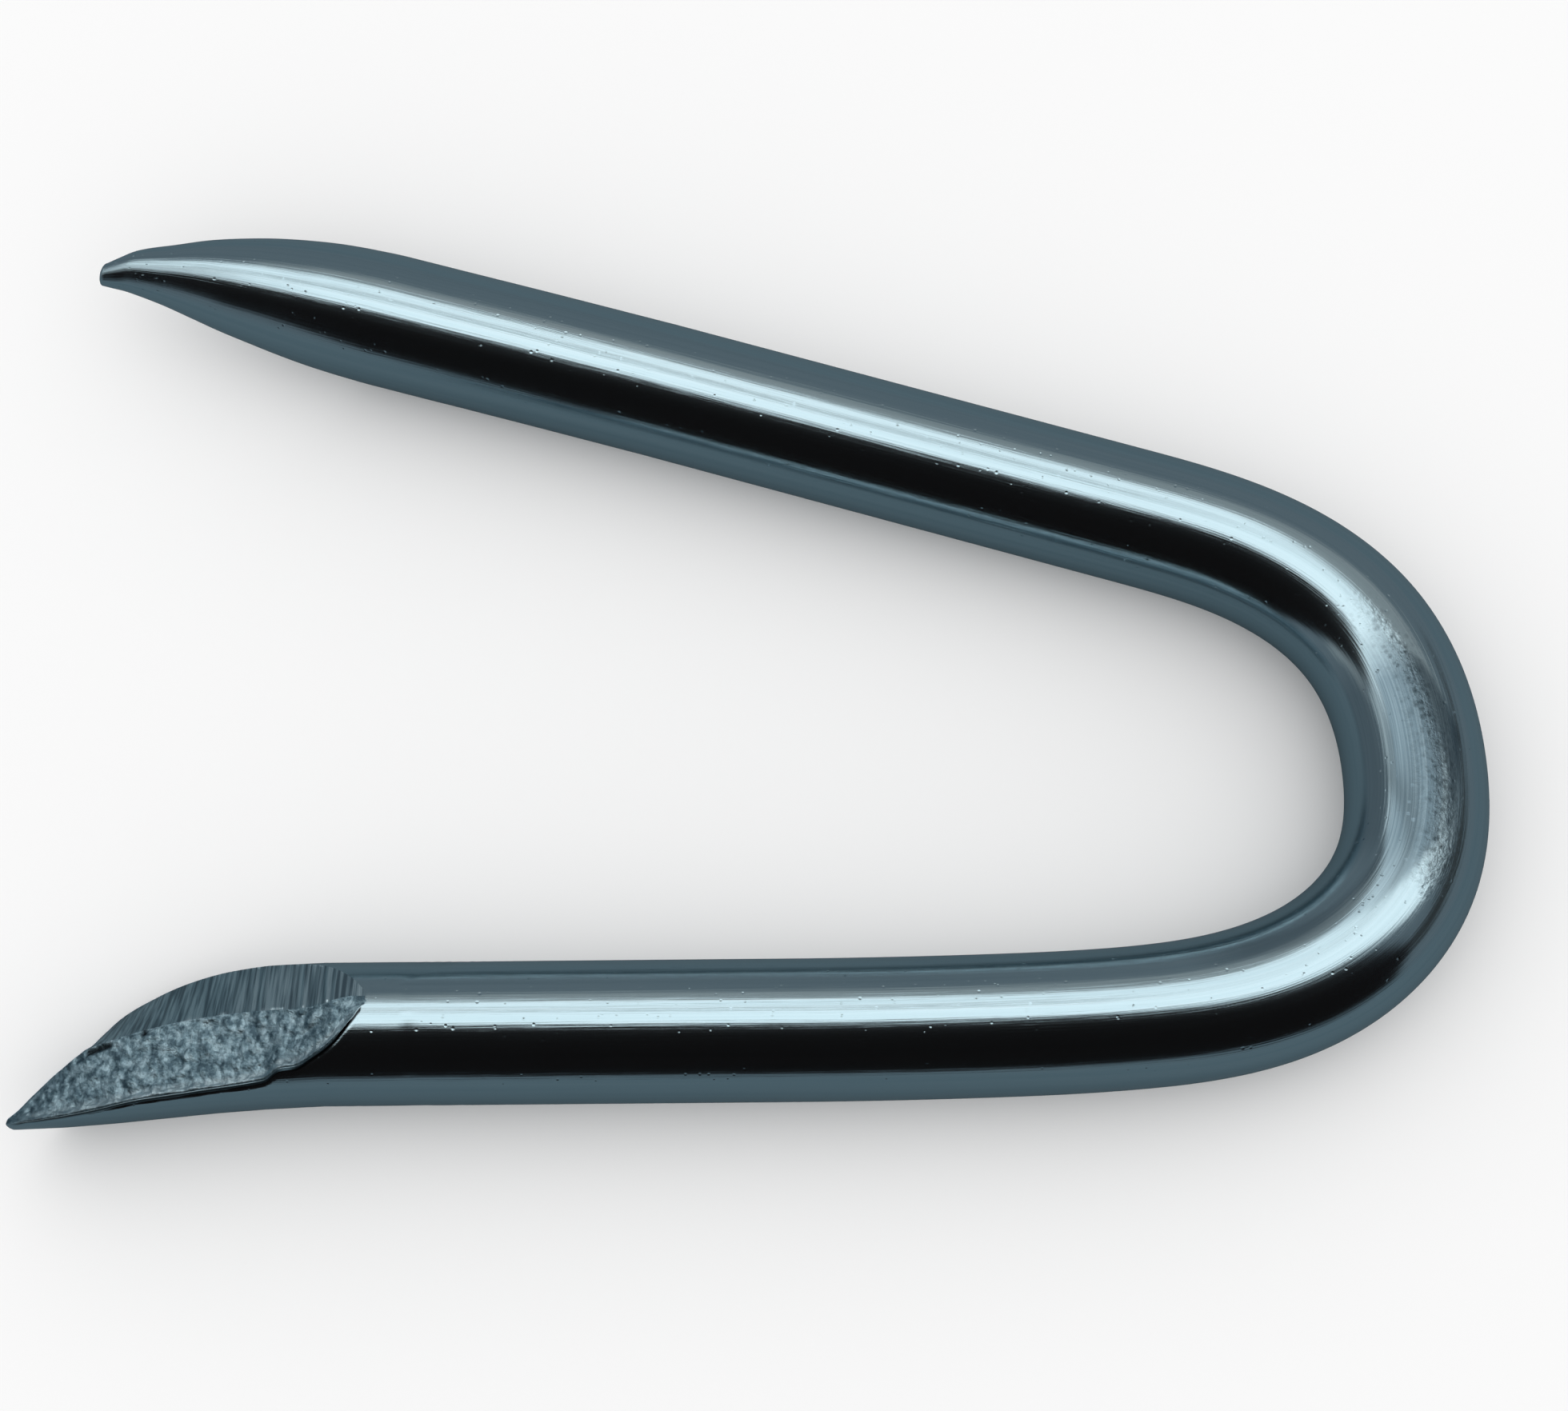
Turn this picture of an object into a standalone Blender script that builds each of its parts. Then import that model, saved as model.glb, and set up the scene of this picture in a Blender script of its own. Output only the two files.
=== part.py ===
"""A fence staple: one length of round wire, cut slanting at both ends and bent once.

Metres, Z up. The staple lies flat on the ground as it would come to rest, with the crown of
the bend towards +X and the two points towards -X. Near is the -Y side and far is the +Y side.
"""

import math

import bmesh
import bpy
import numpy as np
from mathutils import Matrix

MM = 0.001

# The wire
WIRE_DIAMETER = 3.8 * MM
WIRE_RADIUS = WIRE_DIAMETER / 2
SECTION_STEPS = 22  # bevel steps: gives 2 * 22 + 4 = 48 sides

# The legs. Each length runs from the point to where the bend begins.
NEAR_LEG = 20.3 * MM
FAR_LEG = 29.75 * MM
LEG_SPREAD = 16.7  # degrees between the two legs

# The bend, from the near leg to the far leg, as turns in degrees and radii of the wire's
# centre line. The radius changes evenly through each turn.
BOW_TURN = 1.5
BOW_RADIUS = 215 * MM
LEAD_TURN = 3.2
LEAD_RADIUS = 40 * MM
ROUNDING_TURN = 30.0
SHOULDER_TURN = 32.4
SHOULDER_START_RADIUS = 6.45 * MM
SHOULDER_END_RADIUS = 4.8 * MM
NEAR_CROWN_TURN = 25.0
CROWN_RADIUS = 10.75 * MM
FAR_CROWN_TURN = 32.7
FAR_SHOULDER_RADIUS = 5.6 * MM
TURN_PER_RING = 4.4  # degrees between two rings of the bent wire

# The bending tool squeezes the crown: lower, and wider in the plane of the staple.
CROWN_SQUASH = 0.05
CROWN_SPREAD = 0.025
SQUASH_FULL = 5.0 * MM  # either side of the crown's middle
SQUASH_END = 11.0 * MM

# The points. Places along a point are counted in wire radii back from its tip, and places
# across it in wire radii from the centre line, first towards the far side and then up.
# The near point leans out a little: (back, lean towards the near side)
NEAR_LEAN = ((0.0, 0.29), (0.7, 0.265), (1.4, 0.215), (2.1, 0.15), (2.8, 0.085), (3.5, 0.035), (4.3, 0.0))

# The near point's cut has two surfaces that meet at a ridge. The blade made the far one, and
# the wire broke off along the near one. Each row: back, where the break leaves the wire
# (near, up), the ridge, and where the blade's surface leaves the wire on the far side.
NEAR_CUT = (
    (-0.30, (-1.190, 0.10), (-1.10, 0.10), (-1.080, -0.30)),
    (0.00, (-0.976, 0.218), (-0.86, 0.12), (-0.990, -0.139)),
    (0.10, (-0.972, 0.235), (-0.77, 0.10), (-0.955, -0.297)),
    (0.30, (-0.963, 0.270), (-0.565, 0.11), (-0.80, -0.60)),
    (0.67, (-0.938, 0.346), (-0.26, 0.22), (-0.31, -0.951)),
    (1.09, (-0.908, 0.418), (0.00, 0.32), (0.515, -0.857)),
    (1.84, (-0.835, 0.550), (0.15, 0.45), (0.853, -0.521)),
    (2.50, (-0.809, 0.588), (0.225, 0.50), (0.974, -0.225)),
    (3.20, (-0.775, 0.632), (0.25, 0.56), (0.999, 0.052)),
    (3.56, (-0.744, 0.668), (0.24, 0.63), (0.982, 0.190)),
    (3.80, (-0.620, 0.785), (0.225, 0.69), (0.965, 0.262)),
    (4.00, (-0.603, 0.798), (0.21, 0.74), (0.938, 0.347)),
    (4.30, (-0.460, 0.888), (0.22, 0.85), (0.875, 0.484)),
    (4.55, (-0.275, 0.961), (0.287, 0.92), (0.766, 0.643)),
    (4.80, (0.020, 1.000), (0.333, 0.925), (0.580, 0.815)),
    (4.95, (0.190, 0.982), (0.326, 0.944), (0.440, 0.898)),
    (5.30, (0.200, 1.250), (0.330, 1.250), (0.500, 1.200)),
)

# The far point was drawn down to a nose by the shears: (back, radius of the nose, how far its
# centre moves to the near side as seen from above). The nose keeps to the top of the wire.
FAR_NOSE = (
    (0.00, 0.10, 0.545),
    (0.20, 0.21, 0.45),
    (0.45, 0.315, 0.345),
    (0.96, 0.465, 0.25),
    (1.44, 0.61, 0.185),
    (1.92, 0.73, 0.145),
    (2.40, 0.825, 0.11),
    (2.87, 0.90, 0.09),
    (3.35, 0.955, 0.075),
    (3.83, 0.985, 0.065),
    (4.31, 1.0, 0.035),
    (5.00, 1.0, 0.0),
)
NOSE_LIFT = 0.75  # share of the lost radius that the nose's centre moves up
VIEW_TILT = 20.0  # degrees: the nose is drawn square to a line leaning this much to the near side

# The far point's cut faces down and a little outwards.
FAR_CUT_FACING = 160.0  # degrees from straight up, towards the far side
FAR_CUT_START = -0.65
FAR_CUT_SLOPE = 17.0  # degrees to the leg
FAR_BREAK_AT = 3.3
FAR_BREAK_SLOPE = 33.0

CUTTER_REACH = 2.0  # how far the cutters go past the wire, in wire radii
ROWS_FINER = 4  # sections of the near cutter for each row above


def tidy_scene():
    for old in list(bpy.data.objects):
        bpy.data.objects.remove(old, do_unlink=True)


def new_collection(name):
    made = bpy.data.collections.new(name)
    bpy.context.scene.collection.children.link(made)
    return made


def zinc_material():
    made = bpy.data.materials.new("zinc_plated_steel")
    made.use_nodes = True
    shader = made.node_tree.nodes["Principled BSDF"]
    shader.inputs["Base Color"].default_value = (0.56, 0.6, 0.64, 1)
    shader.inputs["Metallic"].default_value = 1.0
    shader.inputs["Roughness"].default_value = 0.3
    made.diffuse_color = (0.56, 0.6, 0.64, 1)
    return made


def bend_turns():
    """(turn, curvature at its start, curvature at its end) of each part of the bend."""
    spans = [
        (BOW_TURN, BOW_RADIUS, BOW_RADIUS),
        (LEAD_TURN, BOW_RADIUS, LEAD_RADIUS),
        (ROUNDING_TURN, LEAD_RADIUS, SHOULDER_START_RADIUS),
        (SHOULDER_TURN, SHOULDER_START_RADIUS, SHOULDER_END_RADIUS),
        (NEAR_CROWN_TURN, SHOULDER_END_RADIUS, CROWN_RADIUS),
        (FAR_CROWN_TURN, CROWN_RADIUS, FAR_SHOULDER_RADIUS),
    ]
    left = 180.0 - LEG_SPREAD - sum(turn for turn, _, _ in spans)
    rows = [(math.radians(turn), 1 / start, 1 / end) for turn, start, end in spans]
    return rows + [(math.radians(left), 1 / FAR_SHOULDER_RADIUS, 0.0)]


def bend_line():
    """Rings along the bend as (x, y, heading, distance), starting at the end of the near leg."""
    x = y = along = 0.0
    heading = math.radians(LEG_SPREAD / 2)
    rings = [(x, y, heading, along)]
    fine = 12
    for turn, start, end in bend_turns():
        length = 2 * turn / (start + end)
        count = max(3, math.ceil(math.degrees(turn) / TURN_PER_RING))
        step = length / count / fine
        for i in range(count * fine):
            bend = start + (end - start) * (i + 0.5) / (count * fine)
            heading += bend * step / 2
            x += math.cos(heading) * step
            y += math.sin(heading) * step
            heading += bend * step / 2
            along += step
            if (i + 1) % fine == 0:
                rings.append((x, y, heading, along))
    return rings


def leg_frame(origin, heading):
    """Matrix from (back, far, up) of a leg, from its tip, to the staple's own axes."""
    back = (math.cos(heading), math.sin(heading), 0)
    far = (-math.sin(heading), math.cos(heading), 0)
    columns = [back, far, (0, 0, 1), (origin[0], origin[1], WIRE_RADIUS)]
    made = Matrix.Identity(4)
    for j, column in enumerate(columns):
        for i in range(3):
            made[i][j] = column[i]
    return made


def leg_frames(rings):
    """The near leg's and the far leg's frames, each with its tip at the end of a straight leg."""
    near_heading = rings[0][2]
    near_tip = (
        rings[0][0] - NEAR_LEG * math.cos(near_heading),
        rings[0][1] - NEAR_LEG * math.sin(near_heading),
    )
    far_heading = rings[-1][2]
    far_tip = (
        rings[-1][0] + FAR_LEG * math.cos(far_heading),
        rings[-1][1] + FAR_LEG * math.sin(far_heading),
    )
    return leg_frame(near_tip, near_heading), leg_frame(far_tip, far_heading - math.pi)


def wire_points(rings, near_frame, far_frame):
    """Centre points of the wire and the share of the wire's radius at each of them."""
    points = []
    for back, lean in NEAR_LEAN:
        place = near_frame @ Matrix.Translation(
            (back * WIRE_RADIUS, -lean * WIRE_RADIUS, 0)
        )
        points.append((place.to_translation(), 1.0))
    for x, y, _, _ in rings:
        points.append((Matrix.Translation((x, y, WIRE_RADIUS)).to_translation(), 1.0))
    tilt = math.radians(VIEW_TILT)
    for back, nose, shift in reversed(FAR_NOSE):
        lift = (1 - nose) * NOSE_LIFT
        side = -shift * math.cos(tilt) - lift * math.sin(tilt)
        up = max(-shift * math.sin(tilt) + lift * math.cos(tilt), nose - 1)
        place = far_frame @ Matrix.Translation(
            (back * WIRE_RADIUS, side * WIRE_RADIUS, up * WIRE_RADIUS)
        )
        points.append((place.to_translation(), nose))
    return points


def sweep_wire(points, collection):
    """Sweeps the round wire along its centre line and makes one closed mesh of it."""
    data = bpy.data.curves.new("wire_line", "CURVE")
    data.dimensions = "3D"
    data.twist_mode = "Z_UP"
    data.bevel_mode = "ROUND"
    data.bevel_depth = WIRE_RADIUS
    data.bevel_resolution = SECTION_STEPS
    data.use_fill_caps = True
    spline = data.splines.new("POLY")
    spline.points.add(len(points) - 1)
    for point, (place, share) in zip(spline.points, points):
        point.co = (*place, 1)
        point.radius = share
    guide = bpy.data.objects.new("wire_guide", data)
    collection.objects.link(guide)
    bpy.context.view_layer.update()
    graph = bpy.context.evaluated_depsgraph_get()
    mesh = bpy.data.meshes.new_from_object(guide.evaluated_get(graph))
    mesh.name = "staple"
    bpy.data.objects.remove(guide, do_unlink=True)
    shape = bmesh.new()
    shape.from_mesh(mesh)
    bmesh.ops.remove_doubles(shape, verts=shape.verts, dist=1e-7)
    bmesh.ops.recalc_face_normals(shape, faces=shape.faces)
    shape.to_mesh(mesh)
    shape.free()
    staple = bpy.data.objects.new("staple", mesh)
    collection.objects.link(staple)
    return staple


def squeeze_crown(mesh, rings):
    """Lowers the crown and widens it, most at its middle and fading out along the bend."""
    line = np.array([(x, y) for x, y, _, _ in rings])
    along = np.array([ring[3] for ring in rings])
    middle = along[np.argmax(line[:, 0])]
    runs = np.diff(line, axis=0)
    for vertex in mesh.vertices:
        place = np.array(vertex.co)
        share = ((place[:2] - line[:-1]) * runs).sum(axis=1) / (runs**2).sum(axis=1)
        share = np.clip(share, 0, 1)
        feet = line[:-1] + runs * share[:, None]
        i = int(np.argmin(((feet - place[:2]) ** 2).sum(axis=1)))
        where = along[i] + (along[i + 1] - along[i]) * share[i]
        fade = (SQUASH_END - abs(where - middle)) / (SQUASH_END - SQUASH_FULL)
        fade = min(1.0, max(0.0, fade))
        fade = fade * fade * (3 - 2 * fade)
        place[:2] += (place[:2] - feet[i]) * CROWN_SPREAD * fade
        place[2] -= (place[2] - WIRE_RADIUS) * CROWN_SQUASH * fade
        vertex.co = place


def closed_loft(name, sections, frame, collection):
    """A closed cutter through outlines of the same count, one behind the other along a leg.
    The first corner of an outline sees all its other corners."""
    shape = bmesh.new()
    loops = [
        [shape.verts.new(frame @ Matrix.Translation(place).to_translation()) for place in section]
        for section in sections
    ]
    count = len(loops[0])
    for first, second in zip(loops, loops[1:]):
        for i in range(count):
            j = (i + 1) % count
            shape.faces.new((first[i], first[j], second[j], second[i]))
    bmesh.ops.triangulate(shape, faces=shape.faces)
    for loop in (loops[0], loops[-1]):
        for i in range(2, count):
            shape.faces.new((loop[0], loop[i - 1], loop[i]))
    bmesh.ops.recalc_face_normals(shape, faces=shape.faces)
    mesh = bpy.data.meshes.new(name)
    shape.to_mesh(mesh)
    shape.free()
    cutter = bpy.data.objects.new(name, mesh)
    collection.objects.link(cutter)
    cutter.hide_render = True
    cutter.display_type = "WIRE"
    return cutter


def beyond(ridge, edge):
    """A point on the line from the ridge through an edge, well outside the wire."""
    run = np.subtract(edge, ridge)
    return np.add(ridge, run / np.hypot(*run) * CUTTER_REACH)


def smooth_rows(rows, finer):
    """Rows of numbers with more between them, on a smooth curve that never overshoots a row."""
    rows = np.array(rows, float)
    gaps = np.diff(rows[:, 0])[:, None]
    steps = np.diff(rows[:, 1:], axis=0) / gaps
    slopes = np.zeros_like(rows[:, 1:])
    before, after = steps[:-1], steps[1:]
    agree = before * after > 0
    both = np.where(agree, before + after, 1.0)
    slopes[1:-1] = np.where(agree, 2 * before * after / both, 0.0)
    slopes[0], slopes[-1] = steps[0], steps[-1]
    made = []
    for i, gap in enumerate(gaps[:, 0]):
        for t in np.arange(finer) / finer:
            values = (
                (2 * t**3 - 3 * t**2 + 1) * rows[i, 1:]
                + (t**3 - 2 * t**2 + t) * gap * slopes[i]
                + (3 * t**2 - 2 * t**3) * rows[i + 1, 1:]
                + (t**3 - t**2) * gap * slopes[i + 1]
            )
            made.append([rows[i, 0] + gap * t, *values])
    return np.array([*made, rows[-1]])


def turned(place):
    """A place across the wire as (angle from straight down, towards the far side; distance)."""
    return math.atan2(place[0], -place[1]) % (2 * math.pi), math.hypot(*place)


def unturned(angle, distance):
    return distance * math.sin(angle), -distance * math.cos(angle)


def near_cutter(frame, collection):
    rows = []
    for back, edge, ridge, far in NEAR_CUT:
        far_angle, far_distance = turned(far)
        if far_angle > 1.5 * math.pi:
            far_angle -= 2 * math.pi
        rows.append((back, *turned(edge), *ridge, far_angle, far_distance))
    lean_back = [row[0] for row in NEAR_LEAN]
    lean_side = [row[1] for row in NEAR_LEAN]
    sections = []
    for row in smooth_rows(rows, ROWS_FINER):
        back, ridge = row[0], row[3:5]
        edge, far = unturned(*row[1:3]), unturned(*row[5:7])
        lean = float(np.interp(back, lean_back, lean_side))
        near_out, far_out = beyond(ridge, edge), beyond(ridge, far)
        wide = CUTTER_REACH + 1.5
        outline = [ridge, far_out, (wide, far_out[1]), (wide, wide), (-wide, wide), near_out]
        sections.append(
            [
                (back * WIRE_RADIUS, (side - lean) * WIRE_RADIUS, up * WIRE_RADIUS)
                for side, up in outline
            ]
        )
    return closed_loft("near_shear", sections, frame, collection)


def far_cutter(frame, collection):
    """The far cutter: an outline along the leg, run straight across the wire."""
    slope = math.tan(math.radians(FAR_CUT_SLOPE))
    break_slope = math.tan(math.radians(FAR_BREAK_SLOPE))
    start = (-1.0, FAR_CUT_START - slope)
    knee = (FAR_BREAK_AT, FAR_CUT_START + slope * FAR_BREAK_AT)
    end = (knee[0] + 2.0, knee[1] + 2.0 * break_slope)
    outline = [knee, end, (end[0], end[1] + 1), (start[0], end[1] + 1), start]
    facing = math.radians(FAR_CUT_FACING)
    sections = []
    for across in (-CUTTER_REACH, CUTTER_REACH):
        sections.append(
            [
                (
                    back * WIRE_RADIUS,
                    (out * math.sin(facing) + across * math.cos(facing)) * WIRE_RADIUS,
                    (out * math.cos(facing) - across * math.sin(facing)) * WIRE_RADIUS,
                )
                for back, out in outline
            ]
        )
    return closed_loft("far_shear", sections, frame, collection)


def cut(solid, cutter):
    modifier = solid.modifiers.new(cutter.name, "BOOLEAN")
    modifier.operation = "DIFFERENCE"
    modifier.solver = "EXACT"
    modifier.object = cutter


def centre_on_origin(solid, others):
    """Moves the staple and its cutters so that the finished staple's box is centred in X and Y."""
    bpy.context.view_layer.update()
    graph = bpy.context.evaluated_depsgraph_get()
    corners = np.array([tuple(corner) for corner in solid.evaluated_get(graph).bound_box])
    middle = (corners.min(axis=0) + corners.max(axis=0)) / 2
    move = Matrix.Translation((-middle[0], -middle[1], -corners[:, 2].min()))
    for thing in [solid, *others]:
        thing.data.transform(move)
        thing.data.update()


def main():
    tidy_scene()
    parts = new_collection("fence_staple")
    cutters = new_collection("cutters")
    cutters.hide_render = True

    rings = bend_line()
    near_frame, far_frame = leg_frames(rings)
    staple = sweep_wire(wire_points(rings, near_frame, far_frame), parts)
    squeeze_crown(staple.data, rings)
    shears = [near_cutter(near_frame, cutters), far_cutter(far_frame, cutters)]
    for shear in shears:
        cut(staple, shear)
    centre_on_origin(staple, shears)

    staple.data.materials.clear()
    staple.data.materials.append(zinc_material())
    staple.data.shade_smooth()
    staple.data.set_sharp_from_angle(angle=math.radians(40))


main()
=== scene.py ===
# %% [markdown]
# # A fence staple
#
# The real thing is one length of round steel wire, zinc-plated before it is cut and bent. Shears
# part the wire on a slant, so each end is a point, and a tool then bends the length once. It holds
# fence wire or netting to a timber post.
#
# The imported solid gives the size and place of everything. This file puts a finely divided surface
# in its place, with the marks that drawing, shearing and bending leave, and lights it.

import bpy
import numpy as np
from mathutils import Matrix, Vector


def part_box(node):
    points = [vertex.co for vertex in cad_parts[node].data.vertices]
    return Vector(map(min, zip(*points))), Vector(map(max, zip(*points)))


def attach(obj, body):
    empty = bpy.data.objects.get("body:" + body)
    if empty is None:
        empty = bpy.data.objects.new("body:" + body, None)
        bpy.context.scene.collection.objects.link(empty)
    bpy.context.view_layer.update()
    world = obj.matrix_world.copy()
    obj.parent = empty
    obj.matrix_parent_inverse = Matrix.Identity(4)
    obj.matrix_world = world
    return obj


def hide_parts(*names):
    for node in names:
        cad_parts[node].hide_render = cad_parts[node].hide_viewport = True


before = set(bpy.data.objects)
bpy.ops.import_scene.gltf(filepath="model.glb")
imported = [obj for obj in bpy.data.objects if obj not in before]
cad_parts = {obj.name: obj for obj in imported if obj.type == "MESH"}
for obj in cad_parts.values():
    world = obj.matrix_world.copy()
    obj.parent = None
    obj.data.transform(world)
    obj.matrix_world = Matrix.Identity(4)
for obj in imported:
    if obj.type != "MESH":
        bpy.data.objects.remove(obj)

solid_low, solid_high = (np.array(corner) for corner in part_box("staple"))
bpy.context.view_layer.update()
print("solid, mm:", ((solid_high - solid_low) * 1000).round(2))

# %% [markdown]
# ## The line of the wire
#
# A bent wire is known by its centre line. On a leg the heading stays the same. In the bend the
# heading turns, and how sharply it turns changes evenly from one part of the bend to the next, so
# the light runs round it without a kink. That is why the bend is given as turns and radii here and
# not as points: the line comes from adding up the heading.

# %% Sizes of the wire and its bend
MM = 0.001
WIRE_RADIUS = 1.9 * MM
NEAR_LEG = 20.3 * MM
FAR_LEG = 29.75 * MM
LEG_SPREAD = 16.7
FAR_SHOULDER_RADIUS = 5.6
BEND = np.array(
    [  # degrees turned, radius at its start, radius at its end (mm)
        (1.5, 215.0, 215.0),
        (3.2, 215.0, 40.0),
        (30.0, 40.0, 6.45),
        (32.4, 6.45, 4.8),
        (25.0, 4.8, 10.75),
        (32.7, 10.75, FAR_SHOULDER_RADIUS),
    ]
)


# %% The centre line
def bend_parts():
    """Turn, curvature at the start and curvature at the end of each part, and its length: twice the
    turn over the sum of the two curvatures. The last part eases to the straight far leg."""
    turn = np.radians(np.append(BEND[:, 0], 180 - LEG_SPREAD - BEND[:, 0].sum()))
    start = np.append(1 / BEND[:, 1], 1 / FAR_SHOULDER_RADIUS) / MM
    end = np.append(1 / BEND[:, 2], 0) / MM
    return turn, start, end, 2 * turn / (start + end)


turns, curve_start, curve_end, part_length = bend_parts()
BEND_LENGTH = part_length.sum()
WIRE_LENGTH = NEAR_LEG + BEND_LENGTH + FAR_LEG


def heading_at(t):
    """Heading at distance t along the wire: the heading at the part's start, plus the start
    curvature times the distance into the part, plus half the change of curvature times that
    distance squared over the part's length."""
    into = np.clip(t - NEAR_LEG, 0, BEND_LENGTH)
    starts = np.append(0, np.cumsum(part_length))
    headings = np.radians(LEG_SPREAD / 2) + np.append(0, np.cumsum(turns))
    part = np.clip(np.searchsorted(starts, into, side="right") - 1, 0, len(turns) - 1)
    s = into - starts[part]
    change = (curve_end - curve_start)[part] / part_length[part]
    return headings[part] + curve_start[part] * s + change * s**2 / 2


def centre_at(t):
    """x and y at distance t: the sums of the heading's cosine and sine along the way."""
    fine = np.linspace(0, WIRE_LENGTH, 6001)
    heading = heading_at(fine)
    step = fine[1]
    places = []
    for part in (np.cos(heading), np.sin(heading)):
        run = np.append(0, np.cumsum((part[1:] + part[:-1]) / 2 * step))
        places.append(np.interp(t, fine, run))
    return np.array(places).T


print("wire, mm:", round(WIRE_LENGTH * 1000, 2), "of which bend:", round(BEND_LENGTH * 1000, 2))

# %% [markdown]
# ## The two points
#
# Shears leave two surfaces on the near point. The blade's own surface lies on the far side, and
# where the wire gave way it broke, which leaves the rough surface on the near side. They meet at a
# ridge. Across the wire each is a straight line, so a section needs only three corners: where the
# break leaves the round wire, the ridge, and where the blade's surface leaves it. The far point is
# drawn down to a nose, and its cut faces the ground. The nose is blunter here than on the solid, as
# in the photo, and so its tip ends about a tenth of a millimetre short of the solid's.
#
# Places along a point are counted in wire radii back from its tip, and places across it in wire
# radii from the centre line.

# %% Tables of the points
NEAR_LEAN = np.array(  # back, how far the section moves to the near side
    [(0.0, 0.29), (0.7, 0.265), (1.4, 0.215), (2.1, 0.15), (2.8, 0.085), (3.5, 0.035), (4.3, 0.0)]
)
NEAR_CUT_END = 5.05
NEAR_CUT = np.array(
    [  # back, edge of the break (side, up), ridge (side, up), edge of the blade's surface (side, up)
        (-0.30, -1.190, 0.10, -1.10, 0.10, -1.080, -0.30),
        (0.00, -0.976, 0.218, -0.86, 0.12, -0.990, -0.139),
        (0.10, -0.972, 0.235, -0.77, 0.10, -0.955, -0.297),
        (0.30, -0.963, 0.270, -0.565, 0.11, -0.80, -0.60),
        (0.67, -0.938, 0.346, -0.26, 0.22, -0.31, -0.951),
        (1.09, -0.908, 0.418, 0.00, 0.32, 0.515, -0.857),
        (1.84, -0.835, 0.550, 0.15, 0.45, 0.853, -0.521),
        (2.50, -0.809, 0.588, 0.225, 0.50, 0.974, -0.225),
        (3.20, -0.775, 0.632, 0.25, 0.56, 0.999, 0.052),
        (3.56, -0.744, 0.668, 0.24, 0.63, 0.982, 0.190),
        (3.80, -0.620, 0.785, 0.225, 0.69, 0.965, 0.262),
        (4.00, -0.603, 0.798, 0.21, 0.74, 0.938, 0.347),
        (4.30, -0.460, 0.888, 0.22, 0.85, 0.875, 0.484),
        (4.55, -0.275, 0.961, 0.287, 0.92, 0.766, 0.643),
        (4.80, 0.020, 1.000, 0.333, 0.925, 0.580, 0.815),
        (4.95, 0.190, 0.982, 0.326, 0.944, 0.440, 0.898),
        (5.30, 0.200, 1.250, 0.330, 1.250, 0.500, 1.200),
    ]
)
FAR_NOSE = np.array(
    [  # back, radius of the nose, how far its centre moves to the near side
        (0.00, 0.145, 0.53),
        (0.20, 0.23, 0.44),
        (0.45, 0.325, 0.34),
        (0.96, 0.465, 0.25),
        (1.44, 0.61, 0.185),
        (1.92, 0.73, 0.145),
        (2.40, 0.825, 0.11),
        (2.87, 0.90, 0.09),
        (3.35, 0.955, 0.075),
        (3.83, 0.985, 0.065),
        (4.31, 1.0, 0.055),
        (5.20, 1.0, 0.042),
        (6.60, 1.0, 0.02),
        (8.50, 1.0, 0.0),
    ]
)
NOSE_END = 8.5  # where the nose's table ends
FAR_POINT = 5.2  # where the close rows of the far point begin
FAR_END = 0.07  # where its last full row lies
NOSE_LIFT = 0.75  # how far the nose's centre rises, for each radius that the nose has lost
NOSE_TILT = np.radians(20)
FAR_FACING = np.radians(160)  # the way the far cut faces, from straight up
FAR_CUT_START = -0.65
FAR_CUT_SLOPE = np.tan(np.radians(17))
FAR_BREAK_AT = 3.3  # further back than this the cut is broken and steeper
FAR_BREAK_SLOPE = np.tan(np.radians(33))
LEAST_HALF_CUT = np.radians(40)


# %% Smooth curves through the tables
def smooth_rows(rows, places):
    """The rows' values at other places. Between two rows it is a cubic curve whose slope at a row is
    the harmonic mean of the slopes on either side, or zero where they differ in sign, so it never
    overshoots a row. Outside the table the first or last row holds."""
    steps = np.diff(rows, axis=0)
    slope = steps[:, 1:] / steps[:, :1]
    agree = slope[:-1] * slope[1:] > 0
    total = np.where(agree, slope[:-1] + slope[1:], 1)
    tangent = np.vstack([slope[:1], np.where(agree, 2 * slope[:-1] * slope[1:] / total, 0), slope[-1:]])
    places = np.clip(places, rows[0, 0], rows[-1, 0])
    i = np.clip(np.searchsorted(rows[:, 0], places, side="right") - 1, 0, len(rows) - 2)
    gap = steps[i, :1]
    t = (places - rows[i, 0])[:, None] / gap
    return (
        (2 * t**3 - 3 * t**2 + 1) * rows[i, 1:]
        + (t**3 - 2 * t**2 + t) * gap * tangent[i]
        + (3 * t**2 - 2 * t**3) * rows[i + 1, 1:]
        + (t**3 - t**2) * gap * tangent[i + 1]
    )


def ease(low, high, x):
    """0 up to low, 1 from high, and the curve 3t^2 - 2t^3 between them."""
    t = np.clip((x - low) / (high - low), 0, 1)
    return t * t * (3 - 2 * t)


def angle_of(side, up):
    """Angle from straight up towards +side."""
    return np.arctan2(side, up)


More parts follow.
